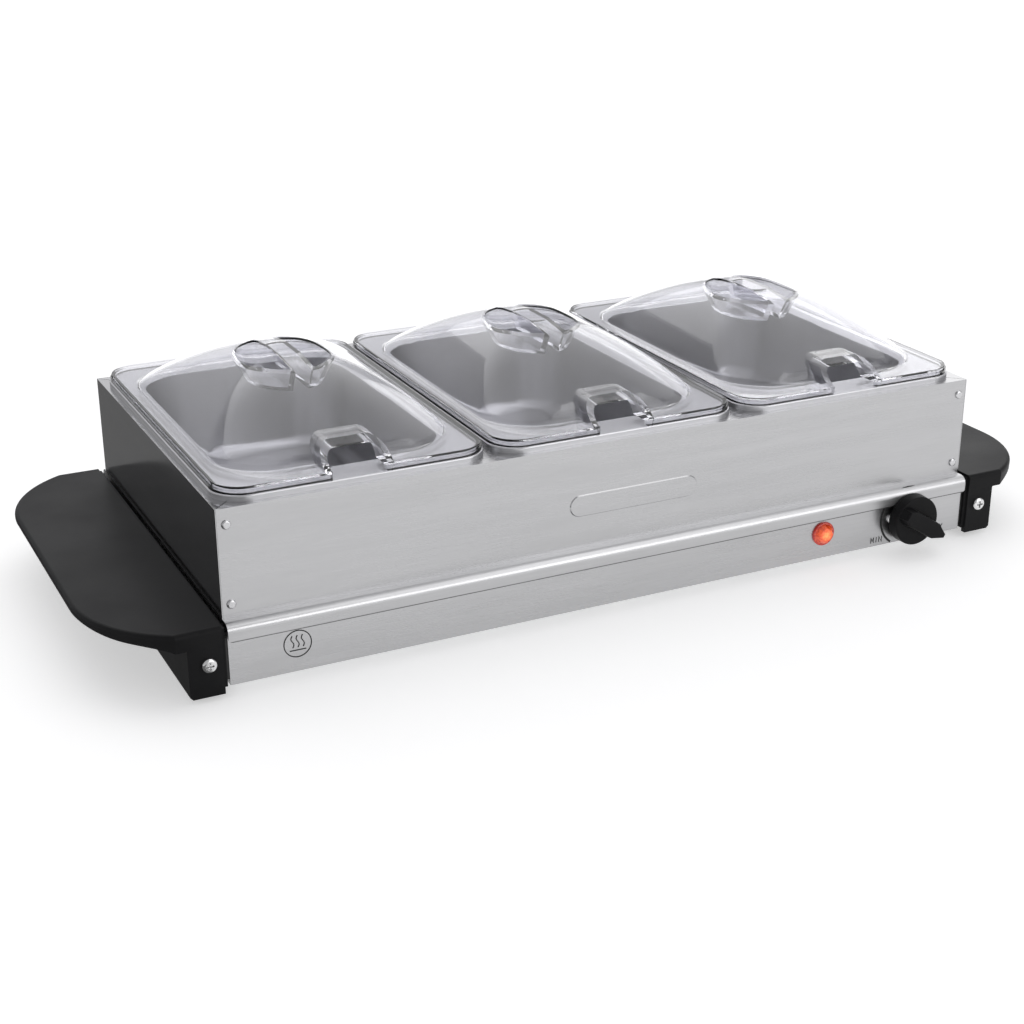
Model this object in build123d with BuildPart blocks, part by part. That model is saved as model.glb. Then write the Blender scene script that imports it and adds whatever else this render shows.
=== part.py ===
"""Electric buffet server: three lidded pans in a lift-off frame over a heated warming tray.

Units are millimetres, +Z is up, the origin is on the floor under the centre of the body.
The front, with the control knob and the pilot lamp, faces -Y.
"""

import os
from math import cos, radians, sin

from build123d import *

os.makedirs("parts", exist_ok=True)

# --- overall stack of heights -------------------------------------------------------------
FOOT_HEIGHT = 3.0
HOUSING_Z0 = 5.5
TRAY_TOP_Z = 40.0
FRAME_TOP_Z = 99.3
PAN_RIM_HEIGHT = 3.2
LID_RIM_HEIGHT = 4.2
DOME_HEIGHT = 33.0
PAN_TOP_Z = FRAME_TOP_Z + PAN_RIM_HEIGHT
LID_FLANGE_Z = PAN_TOP_Z + LID_RIM_HEIGHT
DOME_TOP_Z = LID_FLANGE_Z + DOME_HEIGHT

# --- sheet metal ---------------------------------------------------------------------------
SHEET = 1.0
TRAY_HALF_X = 230.8
TRAY_HALF_Y = 125.0
TRAY_LIP_Z = 30.4
TRAY_EDGE_RADIUS = 4.5
HOUSING_HALF_X = 230.5
HOUSING_HALF_Y = 122.0
HOUSING_FLANGE = 10.0
HOUSING_TOP_BEVEL = 1.6
COVER_THICKNESS = 1.0
COVER_HALF_X = 226.0
COVER_HALF_Y = 117.5
COVER_CORNER_R = 4.0
COVER_SCREW_XS = (-150.0, 0.0, 150.0)
COVER_SCREW_Y = 114.5
COVER_END_SCREW_X = 223.0
COVER_END_SCREW_Y = 55.0
VENT_CENTRE_X = 120.0
VENT_PITCH_X = 30.0
VENT_PITCH_Y = 12.0
VENT_COLUMNS = 5
VENT_ROWS = 6
VENT_LENGTH = 22.0
VENT_WIDTH = 4.0

# --- frame ---------------------------------------------------------------------------------
FRAME_HALF_X = 231.0
FRAME_HALF_Y = 117.0
FRAME_FLANGE = 13.0
FRAME_HEM = 6.0
FRAME_SEAM = 0.5
FRAME_BEND_LAP = 0.1
CORNER_TAB_INSET = 1.5
CORNER_TAB = 13.0
CROSSBAR_WIDTH = 26.0
CROSSBAR_DROP = 9.0
CROSSBAR_TAB = 8.0
RIVET_X = 225.8
RIVET_LEVELS = (47.7, 90.6)
RIVET_HEAD_R = 2.5
RIVET_HEAD_H = 1.2
RIVET_DOME_R = 1.08
RIVET_SHANK_R = 1.6
RIVET_HOLE_R = 1.63
PLAQUE_LENGTH = 80.0
PLAQUE_HEIGHT = 12.5
PLAQUE_RISE = 0.6
PLAQUE_DRAFT = 40.0
PLAQUE_CENTRE_X = 5.0
PLAQUE_CENTRE_Z = 65.0

# --- pans and lids ------------------------------------------------------------------------
PAN_PITCH = 153.0
PAN_NAMES = ("left", "middle", "right")
PAN_CENTRES = (-PAN_PITCH, 0.0, PAN_PITCH)
PAN_SHEET = 0.8
PAN_RIM_X = 150.0
PAN_RIM_Y = 227.0
PAN_RIM_R = 18.0
PAN_RIM_LIP = 1.6
PAN_OPEN_X = 121.0
PAN_OPEN_Y = 187.0
PAN_OPEN_R = 28.0
PAN_DEPTH = 54.0
PAN_DRAFT = 5.0
PAN_FLOOR_R = 8.0
PAN_MOUTH_R = 0.72
PAN_RIM_EDGE_R = 0.7
EDGE_MARGIN = 0.1

LID_SKIRT_X = 148.6
LID_SKIRT_Y = 225.6
LID_SKIRT_R = 17.3
LID_STEP = 0.7
LID_STEP_HEIGHT = 2.3
LID_SKIRT_WIDTH = 3.0
LID_PLATE = 2.0
LID_EDGE_R = 0.5
DOME_HALF_X = 66.0
DOME_HALF_Y = 97.0
DOME_FLARE = 2.4
DOME_SINK = 0.5
DOME_WALL = 1.8
DOME_POWER = 0.9
DOME_CROWN_ROUND = 0.97
DOME_BASE_ROUND = 0.5
DOME_STATIONS = (0.993, 0.965, 0.91, 0.82, 0.70, 0.56, 0.42, 0.28, 0.14)

GRIP_HALF_X = 28.5
GRIP_HALF_Y = 35.0
GRIP_BAR = 12.6
GRIP_FLOOR_DROP = 15.0
GRIP_INSET = 9.0
GRIP_WALL = 1.8

NOTCH_OUTER_HALF = 18.5
NOTCH_WALL = 3.4
NOTCH_RISE = 11.6
NOTCH_OUTER_R = 9.0
NOTCH_FOOT_Y = -113.2
NOTCH_CREST_Y = -95.0
NOTCH_BACK_Y = -72.0
NOTCH_POST = 2.4

# --- handles ------------------------------------------------------------------------------
HANDLE_INNER_X = 234.0
HANDLE_OUTER_X = 295.5
HANDLE_HALF_Y = 125.4
HANDLE_KINK_X = 258.0
HANDLE_STRAIGHT_Y = 64.0
HANDLE_DRAFT = 2.5
HANDLE_PLATE = 3.0
HANDLE_WALL = 2.6
HANDLE_EDGE_R = 2.4
HANDLE_SPARE = 10.0
SKIRT_HIGH_Z = 36.4
SKIRT_BEND_Z = 34.2
SKIRT_LOW_Z = 30.0
SKIRT_SPAN_Y = 72.0
SKIRT_BEND_Y = 108.0
LEG_OUTER_X = 252.3
LEG_FRONT_Y = 124.8
LEG_WALL = 3.2
LEG_FOOT_BEVEL = 1.5
LEG_SCREW_X = 241.7
LEG_SCREW_Z = 21.0
BACK_WALL_X = 232.2
BACK_WALL = 2.0
BACK_WALL_HALF_Y = 123.3
BACK_WALL_Z0 = 6.0
BACK_WALL_Z1 = 38.5
BRACKET_SHEET = 1.5
BRACKET_BACK_Y = 98.0
BRACKET_Z0 = 9.0
BRACKET_Z1 = 32.0
FOOT_X = 243.0
FOOT_Y = 100.0
FOOT_R = 5.9
FOOT_DRAFT = -10.0
FOOT_EDGE_R = 0.6
FOOT_STEM_R = 2.4
FOOT_STEM_LENGTH = 9.0
FOOT_STEM_GAP = 0.5
BOSS_R = 7.0

# --- screws -------------------------------------------------------------------------------
HANDLE_SCREW_R = 2.0
HANDLE_SCREW_HEAD_R = 4.0
HANDLE_SCREW_HEAD_H = 2.6
HANDLE_SCREW_LENGTH = 8.0
SMALL_SCREW_R = 1.5
SMALL_SCREW_HEAD_R = 2.8
SMALL_SCREW_HEAD_H = 1.5
SMALL_SCREW_LENGTH = 5.0
SCREW_HOLE_R = 1.53
HEAD_ROUND = 0.6
TIP_BEVEL = 0.4
RECESS_LENGTH = 1.05
RECESS_WIDTH = 0.26
RECESS_DEPTH = 0.55
RECESS_DRAFT = 8.0

# --- controls -----------------------------------------------------------------------------
KNOB_X = 190.0
KNOB_Z = 21.5
KNOB_R = 15.2
KNOB_DRAFT = 2.0
KNOB_EDGE_R = 1.0
KNOB_NECK_R = 8.0
KNOB_BACK_Y = -122.6
KNOB_BARREL_Y = -125.8
KNOB_FACE_Y = -133.0
KNOB_FRONT_Y = -140.0
KNOB_TIP_R = 19.6
KNOB_TIP_ANGLE = -32.0
BAR_TIP_HALF = 1.8
BAR_HALF = 5.8
BAR_TAIL_HALF = 3.2
BAR_SHOULDER = 10.5
BAR_TAIL_SHOULDER = -9.0
BAR_TAIL = -14.6
BAR_ROOT = 3.5
BAR_DRAFT = 5.0
BAR_EDGE_R = 0.7
SHAFT_R = 3.0
SHAFT_FIT = 0.05
SHAFT_FLAT = 2.0
SHAFT_END_GAP = 0.5
SHAFT_ENTRY = 0.8
BUSH_R = 4.4
BUSH_GAP = 0.2
BUSH_RISE = 0.4
THERMOSTAT_DEPTH = 22.0
THERMOSTAT_PLATE = 1.5
THERMOSTAT_PLATE_HALF_X = 16.0
THERMOSTAT_PLATE_HALF_Z = 9.0
THERMOSTAT_HALF_X = 13.0
THERMOSTAT_HALF_Z = 12.0
THERMOSTAT_SCREW_X = 11.0
THERMOSTAT_SCREW_DEPTH = 8.0
THERMOSTAT_BORE = 12.0
THERMOSTAT_TAB_X = 8.0
TAB_HALF_WIDTH = 3.0
TAB_HALF_THICKNESS = 0.4
TAB_LENGTH = 8.0
LAMP_X = 130.0
LAMP_Z = 21.0
LAMP_BEZEL_R = 7.25
LAMP_BEZEL_HEIGHT = 1.4
LAMP_BEZEL_EDGE_R = 0.6
LAMP_FACET_R = 6.35
LAMP_FACET_HEIGHT = 2.6
LAMP_FACET_DRAFT = 35.0
LAMP_FACETS = 8
LAMP_STEM_R = 4.9
LAMP_STEM_LENGTH = 10.0
LAMP_STEM_GAP = 0.15
LAMP_WALL = 1.3
LAMP_BORE = 10.6
LAMP_BODY_START = 0.2
LAMP_COLLAR = 6.0
LAMP_TAB_X = 2.5
LAMP_TAB_HALF_THICKNESS = 0.4
LAMP_TAB_HALF_WIDTH = 1.4
LAMP_TAB_END = 22.0
LAMP_CLIP_WIDTH = 3.5
LAMP_CLIP_THICKNESS = 0.8
GLAND_X = 150.0
GLAND_Z = 20.0
GLAND_FRONT_Y = 140.0
GLAND_BORE_R = 3.6
GLAND_NECK_R = 6.0
GLAND_NECK_GAP = 0.1
GLAND_THREAD = 6.0
GLAND_COLLAR = 3.0
GLAND_DRAFT = 4.0
GLAND_EDGE_R = 0.8
EARTH_X = 100.0
EARTH_Z = 12.0
TERMINAL_X = 60.0
TERMINAL_Y = 100.0
TERMINAL_HALF_X = 15.0
TERMINAL_HALF_Y = 8.0
TERMINAL_HEIGHT = 13.0
TERMINAL_PITCH = 9.0
TERMINAL_LEVEL = HOUSING_Z0 + 8.0
TERMINAL_BORE_R = 2.0
TERMINAL_SCREW_R = 2.4
TERMINAL_SCREW_DEPTH = 6.0

# --- heating ------------------------------------------------------------------------------
ELEMENT_R = 3.3
ELEMENT_Z = TRAY_TOP_Z - SHEET - ELEMENT_R
ELEMENT_HALF_X = 195.0
ELEMENT_HALF_Y = 72.0
ELEMENT_END_Y = 14.0
ELEMENT_BEND = 14.0
ELEMENT_REACH = 9.0
ELEMENT_PIN_R = 1.5
ELEMENT_PIN_LENGTH = 5.0
CLAMP_XS = (-110.0, 0.0, 110.0)
CLAMP_WIDTH = 12.0
CLAMP_EAR = 8.0
REFLECTOR_SHEET = 0.5
REFLECTOR_HALF_X = 213.0
REFLECTOR_HALF_Y = 94.0
REFLECTOR_Z = 27.0
REFLECTOR_HOLE_GAP = 0.3
FUSE_X = 60.0
FUSE_Y = 40.0
FUSE_R = 2.2
FUSE_LENGTH = 12.0
FUSE_WIRE_R = 0.6
FUSE_WIRE_LENGTH = 20.0
LEAD_R = 1.1
FIT = 0.03


def block(x0, x1, y0, y1, z0, z1, mode=Mode.ADD):
    """Add (or cut) an axis-aligned block given by its faces."""
    with Locations(((x0 + x1) / 2, (y0 + y1) / 2, (z0 + z1) / 2)):
        Box(abs(x1 - x0), abs(y1 - y0), abs(z1 - z0), mode=mode)


def front_plane(y):
    """Plane facing -Y whose local x is +X and local y is +Z."""
    return Plane(origin=(0, y, 0), x_dir=(1, 0, 0), z_dir=(0, -1, 0))


def rear_plane(y):
    """Plane facing +Y whose local x is -X and local y is +Z."""
    return Plane(origin=(0, y, 0), x_dir=(-1, 0, 0), z_dir=(0, 1, 0))


def save(builder, name):
    """Label a finished sub-part and write it out."""
    builder.part.label = name
    export_step(builder.part, f"parts/{name}.step")


# === frame: four panels, two cross-bars and their rivets ===================================
def rivet_holes(xs):
    """Cut the rivet holes along Y through everything in the current part."""
    with Locations(*[Location((x, 0, z), (90, 0, 0)) for x in xs for z in RIVET_LEVELS]):
        Cylinder(RIVET_HOLE_R, 2 * FRAME_HALF_Y + SHEET, mode=Mode.SUBTRACT)


def frame_long_panel(side):
    """Front (side = -1) or rear (side = +1) panel with a mitred top flange and a bottom hem."""
    half_x = FRAME_HALF_X - FRAME_SEAM
    outer = side * FRAME_HALF_Y
    inner = side * (FRAME_HALF_Y - SHEET)
    flange = side * (FRAME_HALF_Y - FRAME_FLANGE)
    hem = side * (FRAME_HALF_Y - FRAME_HEM)
    with BuildPart() as panel:
        block(-half_x, half_x, outer, inner, TRAY_TOP_Z, FRAME_TOP_Z)
        with BuildSketch(Plane.XY.offset(FRAME_TOP_Z - SHEET)):
            with BuildLine():
                Polyline(
                    (-half_x, outer),
                    (half_x, outer),
                    (half_x - FRAME_FLANGE, flange),
                    (-half_x + FRAME_FLANGE, flange),
                    close=True,
                )
            make_face()
        extrude(amount=SHEET)
        hem_x = FRAME_HALF_X - CORNER_TAB - SHEET
        block(-hem_x, hem_x, inner, hem, TRAY_TOP_Z, TRAY_TOP_Z + SHEET)
        if side < 0:
            with BuildSketch(front_plane(outer)):
                with Locations((PLAQUE_CENTRE_X, PLAQUE_CENTRE_Z)):
                    SlotOverall(PLAQUE_LENGTH, PLAQUE_HEIGHT)
            extrude(amount=PLAQUE_RISE, taper=PLAQUE_DRAFT)
        rivet_holes((-RIVET_X, RIVET_X))
    return panel


def frame_end_panel(side):
    """Left (side = -1) or right (side = +1) panel with tabs tucked behind the long panels."""
    outer = side * FRAME_HALF_X
    inner = side * (FRAME_HALF_X - SHEET)
    bend = side * (FRAME_HALF_X - FRAME_SEAM + FRAME_BEND_LAP)
    flange = side * (FRAME_HALF_X - FRAME_FLANGE)
    hem = side * (FRAME_HALF_X - FRAME_HEM)
    tab = side * (FRAME_HALF_X - CORNER_TAB)
    wall_y = FRAME_HALF_Y - SHEET
    tab_z0 = TRAY_TOP_Z + CORNER_TAB_INSET
    tab_z1 = FRAME_TOP_Z - CORNER_TAB_INSET
    with BuildPart() as panel:
        block(outer, inner, -wall_y, wall_y, TRAY_TOP_Z, FRAME_TOP_Z)
        block(outer, bend, -FRAME_HALF_Y, FRAME_HALF_Y, TRAY_TOP_Z, FRAME_TOP_Z)
        with BuildSketch(Plane.XY.offset(FRAME_TOP_Z - SHEET)):
            with BuildLine():
                Polyline(
                    (outer, -wall_y),
                    (outer, wall_y),
                    (inner, wall_y),
                    (flange, FRAME_HALF_Y - FRAME_FLANGE),
                    (flange, -FRAME_HALF_Y + FRAME_FLANGE),
                    (inner, -wall_y),
                    close=True,
                )
            make_face()
        extrude(amount=SHEET)
        hem_y = wall_y - 2 * SHEET
        block(inner, hem, -hem_y, hem_y, TRAY_TOP_Z, TRAY_TOP_Z + SHEET)
        for end in (-1, 1):
            block(inner, tab, end * wall_y, end * (wall_y - SHEET), tab_z0, tab_z1)
        rivet_holes((side * RIVET_X,))
    return panel


def frame_crossbar(x):
    """Channel between two pans; its end tabs tuck under the long panels' top flanges."""
    half = CROSSBAR_WIDTH / 2
    reach = FRAME_HALF_Y - FRAME_FLANGE
    top = FRAME_TOP_Z
    with BuildPart() as bar:
        block(x - half, x + half, -reach, reach, top - SHEET, top)
        for edge in (-1, 1):
            block(x + edge * half, x + edge * (half - SHEET), -reach, reach, top - CROSSBAR_DROP, top)
        for end in (-1, 1):
            block(x - half, x + half, end * (reach - SHEET), end * (reach + CROSSBAR_TAB),
                  top - 2 * SHEET, top - SHEET)
    return bar


frame_front_panel = frame_long_panel(-1)
save(frame_front_panel, "frame_front_panel")
frame_rear_panel = frame_long_panel(1)
save(frame_rear_panel, "frame_rear_panel")
frame_left_panel = frame_end_panel(-1)
save(frame_left_panel, "frame_left_panel")
frame_right_panel = frame_end_panel(1)
save(frame_right_panel, "frame_right_panel")
frame_crossbar_left = frame_crossbar(-PAN_PITCH / 2)
save(frame_crossbar_left, "frame_crossbar_left")
frame_crossbar_right = frame_crossbar(PAN_PITCH / 2)
save(frame_crossbar_right, "frame_crossbar_right")

# One rivet along +Z with its domed head uppermost and the outer sheet face at z = 0.
with BuildPart() as rivet:
    with BuildSketch(Plane.XY):
        Circle(RIVET_HEAD_R)
    extrude(amount=RIVET_HEAD_H)
    fillet(rivet.edges().group_by(Axis.Z)[-1], radius=RIVET_DOME_R)
    with BuildSketch(Plane.XY):
        Circle(RIVET_SHANK_R)
    extrude(amount=-2 * SHEET)
    with BuildSketch(Plane.XY.offset(-2 * SHEET)):
        Circle(RIVET_HEAD_R)
    extrude(amount=-SHEET)

with BuildPart() as frame_rivets:
    for side, tilt in ((-1, 90), (1, -90)):
        for x in (-RIVET_X, RIVET_X):
            for z in RIVET_LEVELS:
                with Locations(Location((x, side * FRAME_HALF_Y, z), (tilt, 0, 0))):
                    add(rivet.part)
save(frame_rivets, "frame_rivets")


# === pans ==================================================================================
rim_inner_x = PAN_RIM_X - 2 * PAN_RIM_LIP
rim_inner_y = PAN_RIM_Y - 2 * PAN_RIM_LIP
with BuildPart() as pan_cavity:
    with BuildSketch(Plane.XY.offset(PAN_TOP_Z)):
        RectangleRounded(PAN_OPEN_X, PAN_OPEN_Y, PAN_OPEN_R)
    extrude(amount=-PAN_DEPTH, taper=PAN_DRAFT)
    fillet(pan_cavity.edges().group_by(Axis.Z)[0], radius=PAN_FLOOR_R)

with BuildPart() as pan:
    with BuildSketch(Plane.XY.offset(FRAME_TOP_Z)):
        RectangleRounded(PAN_RIM_X, PAN_RIM_Y, PAN_RIM_R)
        RectangleRounded(rim_inner_x, rim_inner_y, PAN_RIM_R - PAN_RIM_LIP, mode=Mode.SUBTRACT)
    extrude(amount=PAN_RIM_HEIGHT)
    with BuildSketch(Plane.XY.offset(PAN_TOP_Z)):
        RectangleRounded(PAN_RIM_X - PAN_RIM_LIP, PAN_RIM_Y - PAN_RIM_LIP, PAN_RIM_R - PAN_RIM_LIP / 2)
    extrude(amount=-PAN_SHEET)
    rim_edges = pan.edges().group_by(Axis.Z)[-1].filter_by(
        lambda edge: abs(edge.center().X) > PAN_OPEN_X / 2 or abs(edge.center().Y) > PAN_OPEN_Y / 2)
    fillet(rim_edges, radius=PAN_RIM_EDGE_R)
    with BuildSketch(Plane.XY.offset(PAN_TOP_Z)):
        RectangleRounded(PAN_OPEN_X + 2 * PAN_SHEET, PAN_OPEN_Y + 2 * PAN_SHEET, PAN_OPEN_R + PAN_SHEET)
    extrude(amount=-(PAN_DEPTH + PAN_SHEET), taper=PAN_DRAFT)
    fillet(pan.edges().group_by(Axis.Z)[0], radius=PAN_FLOOR_R + PAN_SHEET)
    add(pan_cavity.part, mode=Mode.SUBTRACT)
    mouth = pan.edges().filter_by(lambda edge: abs(edge.center().Z - PAN_TOP_Z) < EDGE_MARGIN).filter_by(
        lambda edge: abs(edge.center().X) < PAN_OPEN_X / 2 + EDGE_MARGIN
        and abs(edge.center().Y) < PAN_OPEN_Y / 2 + EDGE_MARGIN)
    fillet(mouth, radius=PAN_MOUTH_R)

for name, x in zip(PAN_NAMES, PAN_CENTRES):
    with BuildPart() as placed_pan:
        with Locations((x, 0, 0)):
            add(pan.part)
    save(placed_pan, f"pan_{name}")


# === lids ==================================================================================
def dome_section(station, half_x, half_y, height):
    """Half widths, corner radius and level of the dome at one station (1 = base, 0 = crown)."""
    x = half_x * station
    y = half_y * station
    corner = x * (DOME_CROWN_ROUND - (DOME_CROWN_ROUND - DOME_BASE_ROUND) * station**2)
    level = LID_FLANGE_Z + height * (1 - station**2) ** DOME_POWER
    return x, y, corner, level


def dome_loft(half_x, half_y, height, base_level, base_flare):
    """Dome lofted through its sections, flaring out at the base."""
    with BuildPart() as dome:
        with BuildSketch(Plane.XY.offset(base_level)):
            RectangleRounded(2 * (half_x + base_flare), 2 * (half_y + base_flare),
                             half_x * DOME_BASE_ROUND + base_flare)
        for station in DOME_STATIONS:
            x, y, corner, level = dome_section(station, half_x, half_y, height)
            with BuildSketch(Plane.XY.offset(level)):
                RectangleRounded(2 * x, 2 * y, corner)
        loft()
    return dome


def grip_pockets(wall, top):
    """Two half-oval bowls either side of the pinch bar, grown by the wall thickness."""
    with BuildPart() as pockets:
        for side in (-1, 1):
            for level, shrink in ((top, 0.0), (DOME_TOP_Z - GRIP_FLOOR_DROP - wall, GRIP_INSET)):
                with BuildSketch(Plane.XY.offset(level)):
                    Ellipse(GRIP_HALF_X + wall - shrink, GRIP_HALF_Y + wall - shrink)
                    with Locations((-side * (GRIP_HALF_X - GRIP_BAR / 2 + wall), 0)):
                        Rectangle(2 * GRIP_HALF_X, 3 * GRIP_HALF_Y, mode=Mode.SUBTRACT)
            loft()
    return pockets


def arch_prism(wall, below, reach):
    """Arch-shaped prism along Y: straight sides, flat crown, rounded shoulders."""
    half = NOTCH_OUTER_HALF - wall
    base = LID_FLANGE_Z - below
    crown = LID_FLANGE_Z + NOTCH_RISE - wall
    with BuildPart() as prism:
        with BuildSketch(front_plane(NOTCH_BACK_Y)):
            with BuildLine():
                FilletPolyline((-half, base), (-half, crown), (half, crown), (half, base),
                               radius=NOTCH_OUTER_R - wall)
                Line((half, base), (-half, base))
            make_face()
        extrude(amount=reach)
    return prism


dome_outer = dome_loft(DOME_HALF_X, DOME_HALF_Y, DOME_HEIGHT, LID_FLANGE_Z - DOME_SINK,
                       DOME_FLARE)
dome_inner = dome_loft(DOME_HALF_X - DOME_WALL, DOME_HALF_Y - DOME_WALL, DOME_HEIGHT - DOME_WALL,
                       LID_FLANGE_Z - LID_PLATE, DOME_WALL / 2)
notch_reach = NOTCH_BACK_Y - NOTCH_FOOT_Y
notch_void = arch_prism(NOTCH_WALL, LID_RIM_HEIGHT, notch_reach + 1)
grip_voids = grip_pockets(0, DOME_TOP_Z + GRIP_WALL)

grip_bowls = grip_pockets(GRIP_WALL, DOME_TOP_Z)
with grip_bowls:
    add(dome_outer.part, mode=Mode.INTERSECT)

with BuildPart() as hood_trim:
    with BuildSketch(Plane.YZ.offset(-NOTCH_OUTER_HALF - 1)):
        with BuildLine():
            Polyline(
                (NOTCH_FOOT_Y, LID_FLANGE_Z),
                (NOTCH_CREST_Y, LID_FLANGE_Z + NOTCH_RISE),
                (NOTCH_CREST_Y, LID_FLANGE_Z + 2 * NOTCH_RISE),
                (NOTCH_FOOT_Y - 1, LID_FLANGE_Z + 2 * NOTCH_RISE),
                (NOTCH_FOOT_Y - 1, LID_FLANGE_Z),
                close=True,
            )
        make_face()
    extrude(amount=2 * NOTCH_OUTER_HALF + 2)

notch_hood = arch_prism(0, LID_PLATE, notch_reach)
with notch_hood:
    add(hood_trim.part, mode=Mode.SUBTRACT)
    add(dome_inner.part, mode=Mode.SUBTRACT)
    add(notch_void.part, mode=Mode.SUBTRACT)

with BuildPart() as lid:
    with BuildSketch(Plane.XY.offset(PAN_TOP_Z)):
        RectangleRounded(LID_SKIRT_X, LID_SKIRT_Y, LID_SKIRT_R)
    extrude(amount=LID_STEP_HEIGHT)
    with BuildSketch(Plane.XY.offset(PAN_TOP_Z)):
        RectangleRounded(LID_SKIRT_X - 2 * LID_STEP, LID_SKIRT_Y - 2 * LID_STEP, LID_SKIRT_R - LID_STEP)
    extrude(amount=LID_RIM_HEIGHT)
    fillet(lid.faces().sort_by(Axis.Z)[-1].edges(), radius=LID_EDGE_R)
    with BuildSketch(Plane.XY.offset(PAN_TOP_Z)):
        RectangleRounded(LID_SKIRT_X - 2 * LID_SKIRT_WIDTH, LID_SKIRT_Y - 2 * LID_SKIRT_WIDTH,
                         LID_SKIRT_R - LID_SKIRT_WIDTH)
    extrude(amount=LID_RIM_HEIGHT - LID_PLATE, mode=Mode.SUBTRACT)
    add(dome_outer.part)
    add(dome_inner.part, mode=Mode.SUBTRACT)
    add(grip_bowls.part)
    add(grip_voids.part, mode=Mode.SUBTRACT)
    add(notch_hood.part)
    add(notch_void.part, mode=Mode.SUBTRACT)
    for side in (-1, 1):
        post_x = side * (NOTCH_OUTER_HALF - NOTCH_WALL)
        block(post_x, post_x + side * NOTCH_POST, -LID_SKIRT_Y / 2 - LID_STEP, -LID_SKIRT_Y / 2 + LID_PLATE,
              PAN_TOP_Z, LID_FLANGE_Z + LID_STEP)

for name, x in zip(PAN_NAMES, PAN_CENTRES):
    with BuildPart() as placed_lid:
        with Locations((x, 0, 0)):
            add(lid.part)
    save(placed_lid, f"lid_{name}")


# === warming tray top and base housing =====================================================
with BuildPart() as warming_tray_top:
    block(-TRAY_HALF_X, TRAY_HALF_X, -TRAY_HALF_Y, TRAY_HALF_Y, TRAY_LIP_Z, TRAY_TOP_Z)
    fillet(warming_tray_top.edges().filter_by(Axis.X).group_by(Axis.Z)[-1], radius=TRAY_EDGE_RADIUS)
    with BuildSketch(Plane.YZ.offset(-TRAY_HALF_X)) as tray_hollow:
        with Locations((0, (TRAY_LIP_Z + TRAY_TOP_Z - SHEET) / 2)):
            Rectangle(2 * (TRAY_HALF_Y - SHEET), TRAY_TOP_Z - SHEET - TRAY_LIP_Z)
        fillet(tray_hollow.vertices().group_by(Axis.Y)[-1], radius=TRAY_EDGE_RADIUS - SHEET)
    extrude(amount=2 * TRAY_HALF_X, mode=Mode.SUBTRACT)
    lip_corners = warming_tray_top.edges().filter_by(Axis.Y).group_by(Axis.Z)[0]
    fillet(lip_corners, radius=2 * SHEET)
save(warming_tray_top, "warming_tray_top")

housing_top = TRAY_TOP_Z - SHEET
cover_screw_points = [(x, side * COVER_SCREW_Y) for x in COVER_SCREW_XS for side in (-1, 1)]
cover_screw_points += [(side * COVER_END_SCREW_X, end * COVER_END_SCREW_Y)
                       for side in (-1, 1) for end in (-1, 1)]
thermostat_screw_xs = (KNOB_X - THERMOSTAT_SCREW_X, KNOB_X + THERMOSTAT_SCREW_X)
with BuildPart() as base_housing:
    block(-HOUSING_HALF_X, HOUSING_HALF_X, -HOUSING_HALF_Y, HOUSING_HALF_Y, HOUSING_Z0, housing_top)
    chamfer(base_housing.edges().filter_by(Axis.X).group_by(Axis.Z)[-1], length=HOUSING_TOP_BEVEL)
    inner_x = HOUSING_HALF_X - SHEET
    inner_y = HOUSING_HALF_Y - SHEET
    block(-inner_x, inner_x, -inner_y, inner_y, HOUSING_Z0 + SHEET, housing_top, Mode.SUBTRACT)
    open_x = HOUSING_HALF_X - HOUSING_FLANGE
    open_y = HOUSING_HALF_Y - HOUSING_FLANGE
    block(-open_x, open_x, -open_y, open_y, HOUSING_Z0, HOUSING_Z0 + SHEET, Mode.SUBTRACT)
    with Locations(*[Location((x, y, HOUSING_Z0)) for x, y in cover_screw_points]):
        Cylinder(SCREW_HOLE_R, 4 * SHEET, mode=Mode.SUBTRACT)
    with BuildSketch(front_plane(-HOUSING_HALF_Y)):
        with Locations((KNOB_X, KNOB_Z)):
            Circle(BUSH_R + BUSH_GAP)
        with Locations(*[(x, KNOB_Z) for x in thermostat_screw_xs]):
            Circle(SCREW_HOLE_R)
        with Locations((LAMP_X, LAMP_Z)):
            Circle(LAMP_STEM_R + LAMP_STEM_GAP)
    extrude(amount=-2 * SHEET, mode=Mode.SUBTRACT)
    with BuildSketch(rear_plane(HOUSING_HALF_Y)):
        with Locations((-GLAND_X, GLAND_Z)):
            Circle(GLAND_NECK_R + GLAND_NECK_GAP)
        with Locations((-EARTH_X, EARTH_Z)):
            Circle(SCREW_HOLE_R)
    extrude(amount=-2 * SHEET, mode=Mode.SUBTRACT)
save(base_housing, "base_housing")

cover_z0 = HOUSING_Z0 - COVER_THICKNESS
with BuildPart() as bottom_cover:
    block(-COVER_HALF_X, COVER_HALF_X, -COVER_HALF_Y, COVER_HALF_Y, cover_z0, HOUSING_Z0)
    fillet(bottom_cover.edges().filter_by(Axis.Z), radius=COVER_CORNER_R)
    with Locations(*[Location((x, y, cover_z0)) for x, y in cover_screw_points]):
        Cylinder(SCREW_HOLE_R, 4 * COVER_THICKNESS, mode=Mode.SUBTRACT)
    with BuildSketch(Plane.XY.offset(cover_z0)):
        with Locations((-VENT_CENTRE_X, 0), (VENT_CENTRE_X, 0)):
            with GridLocations(VENT_PITCH_X, VENT_PITCH_Y, VENT_COLUMNS, VENT_ROWS):
                SlotOverall(VENT_LENGTH, VENT_WIDTH)
    extrude(amount=COVER_THICKNESS, mode=Mode.SUBTRACT)
save(bottom_cover, "bottom_cover")


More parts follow.
